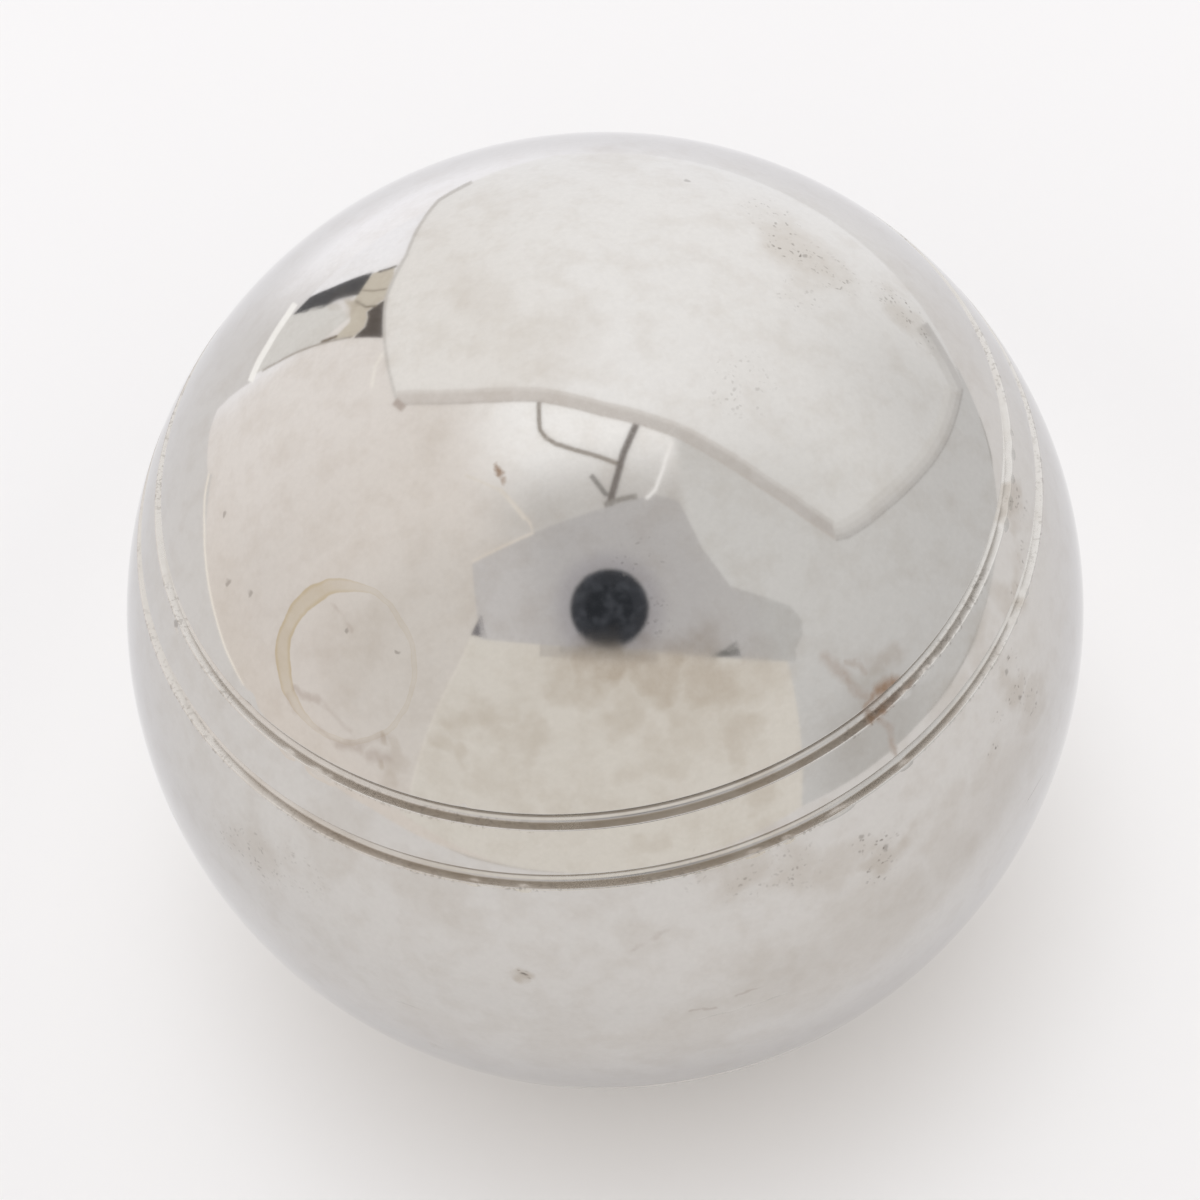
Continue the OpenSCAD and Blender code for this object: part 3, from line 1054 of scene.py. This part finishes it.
# Smaller boards and dark shapes: name, plane, colour and outline
BOARDS = [
    ("front_board", FRONT_PLANE, (0.965, 0.93, 0.88), [
        (472, 632), (560, 636), (640, 640), (715, 645), (788, 655), (799, 695), (807.5, 720),
        (811, 745), (817.5, 770), (820, 785), (RIGHT_X, -FRONT_PLANE[2], FOOT_Z),
        (-0.19, -FRONT_PLANE[2], FOOT_Z),
        (400, 812), (410.7, 790.6), (418, 762.5), (427.5, 734), (440, 703), (457, 669)]),
    ("window_pane", WINDOW_PLANE, (1.02, 1.01, 1.0), [
        (287, 317), (337, 303), (350, 317), (320, 343), (293, 353), (255, 375), (263, 357)]),
    ("window_curtain", WINDOW_PLANE, (0.86, 0.80, 0.70), [
        (395, 268), (373, 273), (361, 290), (353, 301), (343, 299), (350, 309), (350, 322),
        (338, 334), (333, 340), (352, 338), (356, 334), (364, 327), (367, 318), (366, 312),
        (376, 305), (386, 297), (392, 284)]),
    ("window_dark_left", WINDOW_PLANE, (0.14, 0.14, 0.15), [
        (293, 315), (310, 297), (333, 287), (373, 272), (368, 280), (358, 295), (337, 300),
        (323, 308), (307, 312)]),
    ("window_dark_right", WINDOW_PLANE, (0.17, 0.15, 0.14), [
        (387, 298), (385, 338), (354, 338), (357, 334), (365, 327), (368, 318), (367, 312),
        (377, 305)]),
    ("hood", CAMERA_PLANE, HOOD_COLOURS, [
        (472, 562), (533, 533), (597, 510), (640, 498), (655, 495), (678, 500), (702, 548),
        (730, 586), (790, 606), (802, 620), (802, 662), (715, 657), (640, 650), (560, 646),
        (481, 639)]),
    ("camera_left_corner", CAMERA_PLANE, (0.26, 0.25, 0.27), [
        (481, 614), (471, 635), (487, 638)]),
    ("camera_right_corner", CAMERA_PLANE, (0.24, 0.24, 0.24), [
        (708, 657), (723, 650), (737, 640), (741, 656)]),
]
# Colours of the back board's hem from left to right, and the places in X where each is reached
HEM_SHADE_TONES = [(-0.2, (1.0, 0.965, 0.95)), (0.95, (0.86, 0.85, 0.85))]
HEM_TONES = [
    (-0.2, (0.93, 0.885, 0.865)), (0.45, (0.80, 0.775, 0.765)), (1.0, (0.74, 0.715, 0.71))]
# Rims, bars and edges, by the pixels along each: colour, width in pixels and how far aside
STRIPS = [
    ("back_board_left_edge", BACK_PLANE, (0.88, 0.86, 0.85), 3.2, 0.0, BACK_BOARD_LEFT),
    ("back_board_hem_shade", BACK_PLANE, HEM_SHADE_TONES, 15.0, -7.5, BACK_BOARD_TOP),
    ("back_board_hem", BACK_PLANE, HEM_TONES, 11.0, -5.5, BACK_BOARD_TOP),
    ("back_board_hem_edge", BACK_PLANE, (0.78, 0.74, 0.72), 2.0, -1.0, BACK_BOARD_TOP),
    ("back_board_right_shade", BACK_PLANE, (0.92, 0.915, 0.915), 19.0, -9.5, BACK_BOARD_RIGHT),
    ("back_board_right_dim", BACK_PLANE, (0.85, 0.84, 0.84), 12.0, -6.0, BACK_BOARD_RIGHT),
    ("back_board_right_dark", BACK_PLANE, (0.75, 0.74, 0.74), 6.0, -3.0, BACK_BOARD_RIGHT),
    ("back_board_right_edge", BACK_PLANE, (0.57, 0.56, 0.56), 3.0, 0.0, BACK_BOARD_RIGHT),
    ("back_board_foot_shade", BACK_PLANE, (0.88, 0.875, 0.88), 13.0, -6.5, BACK_BOARD_RIGHT_FOOT),
    ("back_board_foot_dim", BACK_PLANE, (0.78, 0.77, 0.775), 6.0, -3.0, BACK_BOARD_RIGHT_FOOT),
    ("back_board_foot_edge", FLOOR_PLANE, (0.56, 0.55, 0.55), 2.6, 0.0, BACK_BOARD_RIGHT_FOOT),
    ("back_board_corner", BACK_PLANE, (0.66, 0.58, 0.54), 8.0, 0.0, [(394.5, 401), (404, 409)]),
    ("right_foot_edge", FLOOR_PLANE, (0.60, 0.59, 0.58), 2.4, 0.0, [
        (820, 785), (830, 779), (852.5, 772.5), (867.5, 762.5), (897.5, 740), (920, 720),
        (940, 697.5), (955, 675), (965, 657.5), (972.5, 642.5), (980, 620), (992, 570), (997, 517),
        (992.5, 480), (990, 453), (980, 420), (962, 387)]),
    ("front_foot_edge", FLOOR_PLANE, (0.72, 0.68, 0.64), 2.0, 0.0, [
        (390, 819), (434, 840.6), (468, 856), (515, 867), (565, 872)]),
    ("front_board_top_shade", FRONT_PLANE, (0.76, 0.73, 0.70), 15.0, 4.0, [
        (540, 645), (560, 646), (640, 650), (658, 651)]),
    ("front_board_top_dim", FRONT_PLANE, (0.62, 0.595, 0.57), 9.0, 2.0, [
        (560, 646), (600, 648), (640, 650)]),
    ("front_board_side", FRONT_PLANE, (1.02, 0.98, 0.93), 2.4, 0.0, [
        (472, 639), (457, 669), (440, 703), (427.5, 734), (418, 762.5), (410.7, 790.6)]),
    ("left_foot_gleam", FLOOR_PLANE, (1.30, 1.24, 1.16), 1.8, 0.0, [
        (209, 474), (205, 494), (204.4, 528), (205.6, 560), (210, 592), (216, 618), (226, 650),
        (235, 669), (244, 685)]),
    ("window_sill", ROD_PLANE, (1.42, 1.42, 1.42), 5.5, 0.8, [
        (296, 304), (288, 316), (279, 329), (270, 344), (260, 361), (251, 382)]),
    ("curtain_fold", WINDOW_PLANE, (0.30, 0.26, 0.21), 2.0, 0.0, [
        (355, 301), (366, 307), (377, 306)]),
    ("curtain_crease", WINDOW_PLANE, (0.42, 0.37, 0.30), 1.5, 0.0, [
        (361, 290), (373, 291), (387, 289)]),
    ("curtain_top", WINDOW_PLANE, (0.24, 0.22, 0.20), 2.0, 0.0, [
        (378, 272), (388, 269), (397, 266)]),
    ("curtain_foot", WINDOW_PLANE, (0.28, 0.23, 0.18), 2.6, 0.0, [
        (321, 342), (329, 339), (337, 336)]),
    ("window_foot", WINDOW_PLANE, (0.60, 0.56, 0.52), 2.0, 0.0, [
        (262, 371), (278, 362), (293, 354), (320, 344), (352, 337)]),
    ("window_gleam", WINDOW_PLANE, (1.25, 1.22, 1.18), 3.0, 0.0, [
        (383, 353), (375, 367), (372, 387)]),
    ("hood_edge", CAMERA_PLANE, (1.02, 0.96, 0.90), 3.0, 0.0, [
        (500, 488), (515, 505), (530, 523), (533, 533), (472, 562)]),
    ("bright_bar", CAMERA_PLANE, (1.32, 1.32, 1.34), 3.6, 0.0, [
        (672, 441), (667, 455), (662, 472), (655, 490), (646, 499)]),
    ("faint_bar", CAMERA_PLANE, (1.06, 1.01, 0.95), 2.4, 0.0, [
        (465, 475), (500, 490), (525, 520)]),
    ("lamp_arm", CEILING_PLANE, (0.42, 0.38, 0.34), 4.5, 0.0, [
        (539, 402), (539, 420), (540, 430), (546, 438), (556, 444), (575, 450), (600, 457),
        (618, 464)]),
    ("lamp_post", CEILING_PLANE, (0.26, 0.235, 0.225), 7.0, 0.0, [
        (638, 421), (624, 452), (609, 506)]),
    ("lamp_foot_left", CEILING_PLANE, (0.36, 0.35, 0.34), 5.0, 0.0, [(591, 475), (607, 496)]),
    ("lamp_foot_right", CEILING_PLANE, (0.42, 0.40, 0.38), 5.5, 0.0, [
        (604, 505), (622, 499), (637, 496)]),
]
# Strips lie just in front of their planes, each a little closer than the one before
STRIP_LIFT, STRIP_STEP = 0.992, 0.0003
# The soft lamp: the way to it from the ball, as azimuth and elevation, and its distance
KEY_WAY, KEY_DISTANCE = (160.0, 70.0), 1.3
# The dome that carries the room's light: its radius, and the elevation of its foot in radians
ROOM_R, ROOM_FOOT = 4.0, -0.1
# The room's light by direction. Colours of its walls by the sine of the elevation
LEFT_WALL_TONES = [
    (-0.05, (0.975, 0.91, 0.865)), (0.25, (0.985, 0.935, 0.91)), (0.80, (1.05, 1.0, 0.97))]
RIGHT_WALL_TONES = [(0.05, (0.805, 0.805, 0.815)), (0.75, (0.885, 0.885, 0.89))]
# The left wall gives way to the right one between these places in X
WALLS_MEET_X = (-0.25, 0.45)
# Glows and shades of the walls: the way to the middle as azimuth and elevation, the cosines of
# the angles from it between which each sets in, and its colour
LEFT_WALL_GLOW = ((-150.0, 15.0), (0.62, 1.0), (1.14, 1.10, 1.09))
LEFT_WALL_SHADE = ((-40.0, 35.0), (0.75, 0.97), (0.91, 0.87, 0.84))
RIGHT_WALL_CORNER = ((50.0, -2.0), (0.955, 0.998), (0.69, 0.68, 0.675))
BACK_WALL_GLOW = ((-157.0, -4.0), (0.900, 0.975), (1.32, 1.33, 1.40))
# The ceiling: where it sets in upwards, from the right and from the left, and its colours from
# the camera's side to the back
CEILING_Z, CEILING_RIGHT_X, CEILING_LEFT_X = (0.80, 0.93), (0.385, 0.335), (-0.52, -0.14)
CEILING_TONES = [(-0.20, (0.80, 0.785, 0.78)), (0.12, (1.33, 1.335, 1.36))]
# Colours of the back board from left to right, and the places in X where each is reached
BACK_BOARD_TONES = [
    (-0.12, (1.17, 1.155, 1.15)), (0.06, (1.25, 1.255, 1.28)), (0.60, (1.0, 1.0, 1.005))]
# Its dimmer corner low on the right, and the places in X and Z between which that sets in
BACK_BOARD_DIM, BACK_BOARD_DIM_X, BACK_BOARD_DIM_Z = (0.93, 0.93, 0.94), (0.14, 0.34), (0.30, 0.04)
# The hood is darker towards the lens: distance in metres from the lens and colour
HOOD_TONES = [
    (0.046, (0.55, 0.54, 0.575)), (0.075, (0.675, 0.665, 0.68)), (0.15, (0.70, 0.69, 0.70))]
# Its left side and its right side, and the places in X between which they set in
HOOD_LEFT, HOOD_LEFT_X = (0.80, 0.785, 0.80), (-0.03, -0.12)
HOOD_RIGHT, HOOD_RIGHT_X = (0.72, 0.72, 0.725), (0.15, 0.235)
# The lens: its middle, then radius and tone of the discs that make up its soft edge, in pixels
LENS_PX = (609.5, 608.3)
LENS_DISCS = [
    (40.6, (0.40, 0.40, 0.42)), (39.2, (0.20, 0.20, 0.22)), (37.8, (0.055, 0.060, 0.072)),
    (24.0, (0.034, 0.038, 0.046))]
LENS_DISC_CORNERS = 64
LENS_PLANE_DISTANCE = 0.29
# The sheen on its glass: colour, strength, pattern, and the values between which it sets in
LENS_SHEEN, LENS_SHEEN_STRENGTH = (0.12, 0.13, 0.155), 0.5
LENS_SHEEN_PATTERN, LENS_SHEEN_VALUES = (0.012, 3.0, 0.6), (0.46, 0.66)
# The bright stretch of floor behind the ball: colours at two places in X, and the distances from
# the ball's axis between which it sets in
FLOOR_GLOW_LEFT, FLOOR_GLOW_RIGHT = (1.36, 1.36, 1.42), (1.07, 1.07, 1.08)
FLOOR_GLOW_X = (-0.12, 0.22)
FLOOR_GLOW_R = (0.055, 0.34)
# The way that it lies, as azimuth and elevation, and the cosines of the angles from it between
# which it sets in
FLOOR_GLOW_WAY = (172.0, 0.0)
FLOOR_GLOW_COSINES = (0.74, 0.89)
# How far it reaches to each side and back, and its height over the floor
FLOOR_GLOW_REACH, FLOOR_GLOW_LIFT = 4.2, 0.5 * MM
# The floor's own faint clouds: their pattern, and how bright they are at their darkest
FLOOR_CLOUD, FLOOR_SHADE = (0.6, 2.0), 0.99
FLOOR_ROUGHNESS = 0.9
# Distances from the ball's axis between which the floor takes painted light from the ball, then a warm
# painted shade, then a painted contact shadow
FLOOR_LIT_R = (0.070, 0.040)
FLOOR_WARM_SHADE_R = (0.046, 0.022)
FLOOR_CONTACT_SHADOW_R = (0.022, 0.002)


def only_shining(shader, colour, alpha=1.0):
    """Ends the tree in a surface that shines in a colour and reflects nothing."""
    material = shader.surface(base_color=(0.0, 0.0, 0.0, 1.0), specular_ior_level=0.0,
                              emission_color=rgba(colour), emission_strength=1.0, alpha=alpha)
    material.cycles.emission_sampling = "NONE"
    return material


def ramp(shader, signal, tones):
    """The colours of a row of (value, colour), blended one into the next as a signal grows."""
    (start, colour), *rest = tones
    for end, following in rest:
        colour = shader.mix(signal.fade(start, end), colour, following)
        start = end
    return colour


def only_mirrored(name, mesh, material):
    """Puts a mesh in the scene, where nothing but mirror images shows it."""
    mesh.materials.append(material)
    board = placed(name, mesh)
    board.visible_camera = board.visible_diffuse = board.visible_shadow = False


def reflector(name, corners, material):
    """A flat board that only reflections see, through its corners in order."""
    mesh = bpy.data.meshes.new(name)
    mesh.from_pydata([tuple(corner) for corner in corners], [], [tuple(range(len(corners)))])
    only_mirrored(name, mesh, material)


def dome(name, material, columns=96, rows=24):
    """A little more than half a sphere over the floor: the point at azimuth a and elevation e is
    its radius * (sin a cos e, -cos a cos e, sin e)."""
    azimuth, elevation = np.meshgrid(np.linspace(0.0, math.tau, columns, endpoint=False),
                                     np.linspace(ROOM_FOOT, math.pi / 2, rows + 1)[:-1])
    points = ROOM_R * np.stack([np.sin(azimuth) * np.cos(elevation),
                                -np.cos(azimuth) * np.cos(elevation), np.sin(elevation)], axis=2)
    points = np.concatenate([points.reshape(-1, 3), [[0.0, 0.0, ROOM_R]]])
    column = np.arange(columns)
    after = (column + 1) % columns
    base = np.arange(rows - 1)[:, None] * columns
    quads = np.stack([base + column, base + columns + column, base + columns + after,
                      base + after], axis=2).reshape(-1, 4)
    last = (rows - 1) * columns
    cap = np.stack([last + column, np.full(columns, len(points) - 1), last + after], axis=1)
    mesh = bpy.data.meshes.new(name)
    mesh.from_pydata(points.tolist(), [], quads.tolist() + cap.tolist())
    mesh.shade_smooth()
    only_mirrored(name, mesh, material)


def room_light():
    """The room's light by direction: warm on the left and grey on the right, bright behind the
    ball, and a bright ceiling whose light fades towards the camera."""
    shader = Shader("room_light")
    way = shader.vector("NORMALIZE", shader.place)
    x, y, z = (shader.along(way, axis) for axis in (X_AXIS, Y_AXIS, Z_AXIS))

    def towards(colour, patch):
        """A colour that turns into the patch's own towards the patch's middle."""
        middle, cosines, own = patch
        return shader.mix(shader.along(way, direction(*middle)).fade(*cosines), colour, own)

    left = towards(ramp(shader, z, LEFT_WALL_TONES), LEFT_WALL_GLOW)
    left = towards(left, LEFT_WALL_SHADE)
    right = towards(ramp(shader, z, RIGHT_WALL_TONES), RIGHT_WALL_CORNER)
    walls = towards(shader.mix(x.fade(*WALLS_MEET_X), left, right), BACK_WALL_GLOW)
    above = z.fade(*CEILING_Z) * x.fade(*CEILING_RIGHT_X) * x.fade(*CEILING_LEFT_X)
    return only_shining(shader, shader.mix(above, walls, ramp(shader, y, CEILING_TONES)))


class STEELBALL_OT_studio(bpy.types.Operator):
    """Set up the pale floor, the soft light, the boards that the metal reflects and the camera"""

    bl_idname = "steelball.studio"
    bl_label = "Studio"

    def execute(self, context):
        studio = context.scene.studio_settings
        picture = Picture(studio)
        self.floor(studio)
        self.light(context, studio)
        self.walls(picture)
        self.boards(picture)
        self.lens(picture)
        self.camera(context, studio, picture)
        context.scene.view_settings.view_transform = "Standard"
        return {"FINISHED"}

    def floor(self, studio):
        """A seamless floor, tinted near the ball by the light and the shade that it throws."""
        half = studio.floor_side / 2
        low = CAD_BOX[0].z
        mesh = bpy.data.meshes.new("floor")
        mesh.from_pydata([(-half, -half, low), (half, -half, low), (half, half, low),
                          (-half, half, low)], [], [(0, 1, 2, 3)])
        floor = placed("floor", mesh)
        shader = Shader("pale_floor")
        tone = shader.noise(*FLOOR_CLOUD) - 0.5
        colour = shader.mix(0.5 + 0.6 * tone, [c * FLOOR_SHADE for c in studio.floor],
                            studio.floor)
        from_axis = shader.from_axis()
        # Painted light from the ball near it, then a warm painted shade and a painted contact shadow
        # closer in
        colour = shader.mix(from_axis.fade(*FLOOR_LIT_R), colour, studio.floor_lit)
        colour = shader.mix(from_axis.fade(*FLOOR_WARM_SHADE_R), colour, studio.floor_warm_shade)
        colour = shader.mix(from_axis.fade(*FLOOR_CONTACT_SHADOW_R), colour, studio.floor_contact_shadow)
        mesh.materials.append(shader.surface(base_color=colour, roughness=FLOOR_ROUGHNESS,
                                             specular_ior_level=0.0))

    def light(self, context, studio):
        """Even light from all round, and a large soft lamp high up behind on the left."""
        world = bpy.data.worlds.new("even_light")
        context.scene.world = world
        world.use_nodes = True
        world.node_tree.nodes["Background"].inputs["Color"].default_value = rgba(studio.sky)
        lamp = bpy.data.lights.new("soft_key", "AREA")
        lamp.shape = "SQUARE"
        lamp.size = studio.key_side
        lamp.energy = studio.key_power
        light = placed("soft_key", lamp)
        away = direction(*KEY_WAY)
        light.location = away * KEY_DISTANCE
        light.rotation_mode = "QUATERNION"
        light.rotation_quaternion = (-away).to_track_quat("-Z", "Y")
        light.visible_camera = light.visible_glossy = False

    def walls(self, picture):
        """The dome of the room, the feet of its walls, and the bright floor behind the ball."""
        light = room_light()
        dome("room", light)
        for name, plane, outline in WALLS:
            reflector(name, picture.outline(outline, plane), light)
        shader = Shader("floor_glow")
        from_axis = shader.from_axis()
        colour = shader.mix(shader.along(shader.place, X_AXIS).fade(*FLOOR_GLOW_X),
                            FLOOR_GLOW_LEFT, FLOOR_GLOW_RIGHT)
        behind_ball = shader.along(shader.place, direction(*FLOOR_GLOW_WAY)) / from_axis
        behind_ball = behind_ball.fade(*FLOOR_GLOW_COSINES)
        low, far = CAD_BOX[0].z + FLOOR_GLOW_LIFT, FLOOR_GLOW_REACH
        reflector("floor_glow", [(-far, 0.0, low), (far, 0.0, low), (far, far, low), (-far, far, low)],
                  only_shining(shader, colour, alpha=from_axis.fade(*FLOOR_GLOW_R) * behind_ball))

    def boards(self, picture):
        """The board behind the ball, the smaller boards, and the bars and edges on them."""
        cloth = Shader("back_board_cloth")
        x, z = (cloth.along(cloth.place, axis) for axis in (X_AXIS, Z_AXIS))
        tones = cloth.mix(x.fade(*BACK_BOARD_DIM_X) * z.fade(*BACK_BOARD_DIM_Z),
                          ramp(cloth, x, BACK_BOARD_TONES), BACK_BOARD_DIM)
        outline = [*BACK_BOARD_TOP, *BACK_BOARD_RIGHT, *BACK_BOARD_FOOT, *reversed(BACK_BOARD_LEFT)]
        reflector("back_board", picture.outline(outline, BACK_PLANE), only_shining(cloth, tones))
        for name, plane, colour, outline in BOARDS:
            shader = Shader(name)
            if colour == HOOD_COLOURS:
                colour = self.hood_colours(shader, picture)
            reflector(name, picture.outline(outline, plane), only_shining(shader, colour))
        for place, (name, plane, colour, width, aside, pixels) in enumerate(STRIPS):
            plane = (*plane[:2], plane[2] * (STRIP_LIFT - place * STRIP_STEP))
            shader = Shader(name)
            if isinstance(colour, list):
                colour = ramp(shader, shader.along(shader.place, X_AXIS), colour)
            outline = picture.outline(picture.strip(pixels, width, aside), plane)
            reflector(name, outline, only_shining(shader, colour))

    def hood_colours(self, shader, picture):
        """The hood's colours, by the distance from the lens and then towards its two sides."""
        lens = picture.mirrored(LENS_PX, CAMERA_PLANE)
        x = shader.along(shader.place, X_AXIS)
        colour = ramp(shader, shader.distance(shader.place, lens), HOOD_TONES)
        colour = shader.mix(x.fade(*HOOD_LEFT_X), colour, HOOD_LEFT)
        return shader.mix(x.fade(*HOOD_RIGHT_X), colour, HOOD_RIGHT)

    def lens(self, picture):
        """The dark round front of the lens, in discs that soften its edge."""
        turns = np.linspace(0.0, math.tau, LENS_DISC_CORNERS, endpoint=False)
        across, down = LENS_PX
        for place, (radius, colour) in enumerate(LENS_DISCS):
            rim = [(across + radius * math.cos(turn), down + radius * math.sin(turn))
                   for turn in turns]
            plane = (*CAMERA_PLANE[:2], LENS_PLANE_DISTANCE - place * MM)
            name = f"lens_disc_{place}"
            shader = Shader(name)
            sheen = shader.noise(*LENS_SHEEN_PATTERN).fade(*LENS_SHEEN_VALUES) * LENS_SHEEN_STRENGTH
            shining = only_shining(shader, shader.mix(sheen, colour, LENS_SHEEN))
            reflector(name, picture.outline(rim, plane), shining)

    def camera(self, context, studio, picture):
        """The camera, which has the ball where the picture has it."""
        data = bpy.data.cameras.new("camera")
        data.sensor_width = SENSOR_W
        data.lens = studio.focal_px / IMAGE_SIDE * SENSOR_W
        data.clip_start, data.clip_end = CLIP
        camera = placed("camera", data)
        camera.matrix_world = Matrix.Translation(picture.eye) @ picture.axes.to_4x4()
        context.scene.camera = camera


OPERATORS = [
    STEELBALL_OT_upper_half_shell,
    STEELBALL_OT_lower_half_shell,
    STEELBALL_OT_weld_bead,
    STEELBALL_OT_studio,
]


class STEELBALL_PT_build(bpy.types.Panel):
    """Buttons for the steel ball and its studio"""

    bl_idname = "STEELBALL_PT_build"
    bl_label = "Turned Steel Ball"
    bl_space_type = "VIEW_3D"
    bl_region_type = "UI"
    bl_category = "Steel Ball"

    def draw(self, context):
        for operator in OPERATORS:
            self.layout.operator(operator.bl_idname)


GROUPS = {"ball_sizes": BallSizes, "steel_finish": SteelFinish, "studio_settings": StudioSettings}


def register():
    """Registers the classes and hangs the settings on the scene."""
    for group in GROUPS.values():
        bpy.utils.register_class(group)
    for cls in (*OPERATORS, STEELBALL_PT_build):
        bpy.utils.register_class(cls)
    for name, group in GROUPS.items():
        setattr(bpy.types.Scene, name, bpy.props.PointerProperty(type=group))


def unregister():
    """Takes back all that register does."""
    for name in GROUPS:
        delattr(bpy.types.Scene, name)
    for cls in (STEELBALL_PT_build, *reversed(OPERATORS)):
        bpy.utils.unregister_class(cls)
    for group in reversed(GROUPS.values()):
        bpy.utils.unregister_class(group)


def main():
    """Registers the add-on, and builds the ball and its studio."""
    register()
    bpy.ops.steelball.upper_half_shell()
    bpy.ops.steelball.lower_half_shell()
    bpy.ops.steelball.weld_bead()
    bpy.ops.steelball.studio()


if __name__ == "__main__":
    main()
